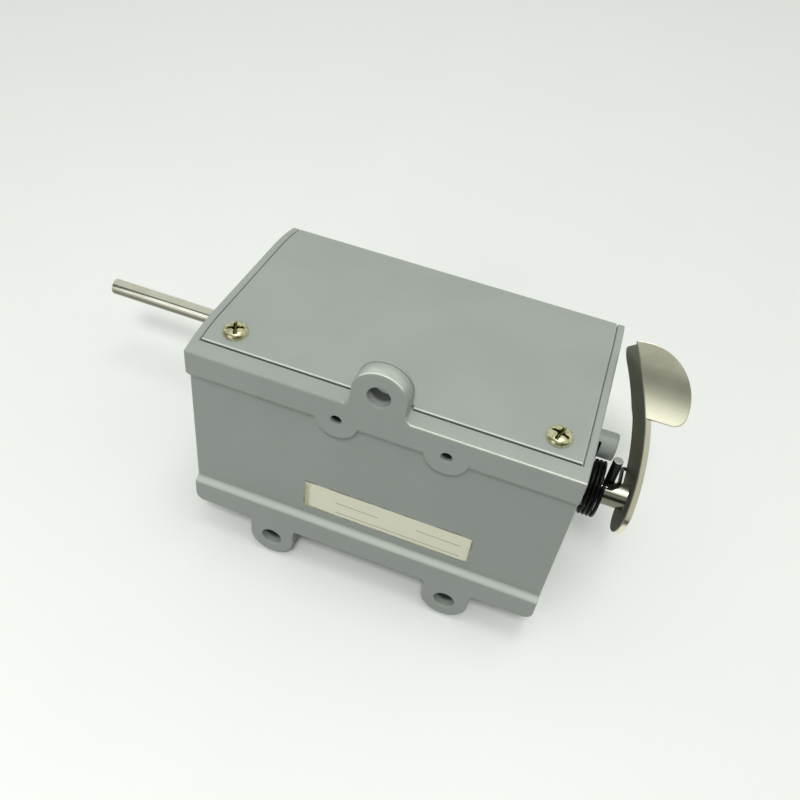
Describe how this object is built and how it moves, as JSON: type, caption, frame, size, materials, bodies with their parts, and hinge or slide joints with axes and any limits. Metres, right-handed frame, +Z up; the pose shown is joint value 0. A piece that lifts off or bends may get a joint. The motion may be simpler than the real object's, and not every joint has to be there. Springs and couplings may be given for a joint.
{
  "type": "mechanical revolution counter",
  "caption": "Box-shaped mechanical revolution counter with cast case, sheet cover, digit window, long drive shaft at one end and sprung thumb lever for zero reset at the other.",
  "frame": {"origin": "on the mounting face, midway between the two ear holes", "axes": "+Z up from the ears to the top lug, +Y from the mounting face to the window, +X from the drive shaft end to the reset lever end"},
  "size_m": [0.2097, 0.0802, 0.0978],
  "materials": {
    "case_paint": "semi-gloss grey enamel on a casting",
    "cover_paint": "semi-gloss grey enamel on smooth sheet",
    "yellow_zinc": "yellow zinc plating",
    "pane": "clear",
    "mask_black": "matt black",
    "label_paper": "uncoated paper",
    "bearing_bronze": "sintered bronze",
    "shaft_nickel": "ground and nickel-plated",
    "plain_steel": "plain",
    "dark_steel": "phosphated",
    "gear_brass": "machined",
    "wheel_plastic": "matt black, white figures",
    "black_oxide": "black oxide",
    "lever_nickel": "warm nickel plate, brushed"
  },
  "bodies": {
    "housing": {"case": "case_paint", "cover": "cover_paint", "cover_screws": "yellow_zinc", "window_pane": "pane", "window_mask": "mask_black", "label": "label_paper", "bushes": "bearing_bronze", "pinion_shaft": "plain_steel", "pinion_spacers": "plain_steel", "reset_spring": "black_oxide"},
    "drive": {"drive_shaft": "shaft_nickel", "drive_disc": "gear_brass", "disc_pin": "dark_steel", "drive_clips": "dark_steel"},
    "wheel_1": {"number_wheel_1": "wheel_plastic"},
    "wheel_2": {"number_wheel_2": "wheel_plastic"},
    "wheel_3": {"number_wheel_3": "wheel_plastic"},
    "wheel_4": {"number_wheel_4": "wheel_plastic"},
    "wheel_5": {"number_wheel_5": "wheel_plastic"},
    "pinion_1": {"transfer_pinion_1": "gear_brass"},
    "pinion_2": {"transfer_pinion_2": "gear_brass"},
    "pinion_3": {"transfer_pinion_3": "gear_brass"},
    "pinion_4": {"transfer_pinion_4": "gear_brass"},
    "pinion_5": {"transfer_pinion_5": "gear_brass"},
    "reset": {"reset_shaft": "shaft_nickel", "reset_comb": "plain_steel", "comb_pins": "dark_steel", "reset_clips": "dark_steel", "stop_pin": "black_oxide", "reset_lever": "lever_nickel"}
  },
  "joints": [
    {"name": "drive_spin", "type": "hinge", "parent": "housing", "child": "drive", "pos_m": [-0.061, 0.055, 0.04075], "axis": [1, 0, 0], "continuous": true},
    {"name": "wheel_1_spin", "type": "hinge", "parent": "housing", "child": "wheel_1", "pos_m": [-0.029, 0.055, 0.04075], "axis": [1, 0, 0], "continuous": true},
    {"name": "wheel_2_spin", "type": "hinge", "parent": "housing", "child": "wheel_2", "pos_m": [-0.0145, 0.055, 0.04075], "axis": [1, 0, 0], "continuous": true},
    {"name": "wheel_3_spin", "type": "hinge", "parent": "housing", "child": "wheel_3", "pos_m": [0, 0.055, 0.04075], "axis": [1, 0, 0], "continuous": true},
    {"name": "wheel_4_spin", "type": "hinge", "parent": "housing", "child": "wheel_4", "pos_m": [0.0145, 0.055, 0.04075], "axis": [1, 0, 0], "continuous": true},
    {"name": "wheel_5_spin", "type": "hinge", "parent": "housing", "child": "wheel_5", "pos_m": [0.029, 0.055, 0.04075], "axis": [1, 0, 0], "continuous": true},
    {"name": "pinion_1_spin", "type": "hinge", "parent": "housing", "child": "pinion_1", "pos_m": [-0.03625, 0.0427, 0.02443], "axis": [1, 0, 0], "continuous": true},
    {"name": "pinion_2_spin", "type": "hinge", "parent": "housing", "child": "pinion_2", "pos_m": [-0.02175, 0.0427, 0.02443], "axis": [1, 0, 0], "continuous": true},
    {"name": "pinion_3_spin", "type": "hinge", "parent": "housing", "child": "pinion_3", "pos_m": [-0.00725, 0.0427, 0.02443], "axis": [1, 0, 0], "continuous": true},
    {"name": "pinion_4_spin", "type": "hinge", "parent": "housing", "child": "pinion_4", "pos_m": [0.00725, 0.0427, 0.02443], "axis": [1, 0, 0], "continuous": true},
    {"name": "pinion_5_spin", "type": "hinge", "parent": "housing", "child": "pinion_5", "pos_m": [0.02175, 0.0427, 0.02443], "axis": [1, 0, 0], "continuous": true},
    {"name": "reset_swing", "type": "hinge", "parent": "housing", "child": "reset", "pos_m": [0.061, 0.0225, 0.05175], "axis": [-1, 0, 0], "range_deg": [0, 41], "stiffness_Nm_per_rad": 0.08, "springref_deg": -51.57, "deforming": ["reset_spring"]}
  ],
  "couplings": [
    {"joint": "wheel_1_spin", "follows": "drive_spin", "ratio": 0.1},
    {"joint": "wheel_2_spin", "follows": "drive_spin", "ratio": 0.01},
    {"joint": "wheel_3_spin", "follows": "drive_spin", "ratio": 0.001},
    {"joint": "wheel_4_spin", "follows": "drive_spin", "ratio": 0.0001},
    {"joint": "wheel_5_spin", "follows": "drive_spin", "ratio": 0.00001},
    {"joint": "pinion_1_spin", "follows": "drive_spin", "ratio": -0.25},
    {"joint": "pinion_2_spin", "follows": "drive_spin", "ratio": -0.025},
    {"joint": "pinion_3_spin", "follows": "drive_spin", "ratio": -0.0025},
    {"joint": "pinion_4_spin", "follows": "drive_spin", "ratio": -0.00025},
    {"joint": "pinion_5_spin", "follows": "drive_spin", "ratio": -0.000025}
  ]
}
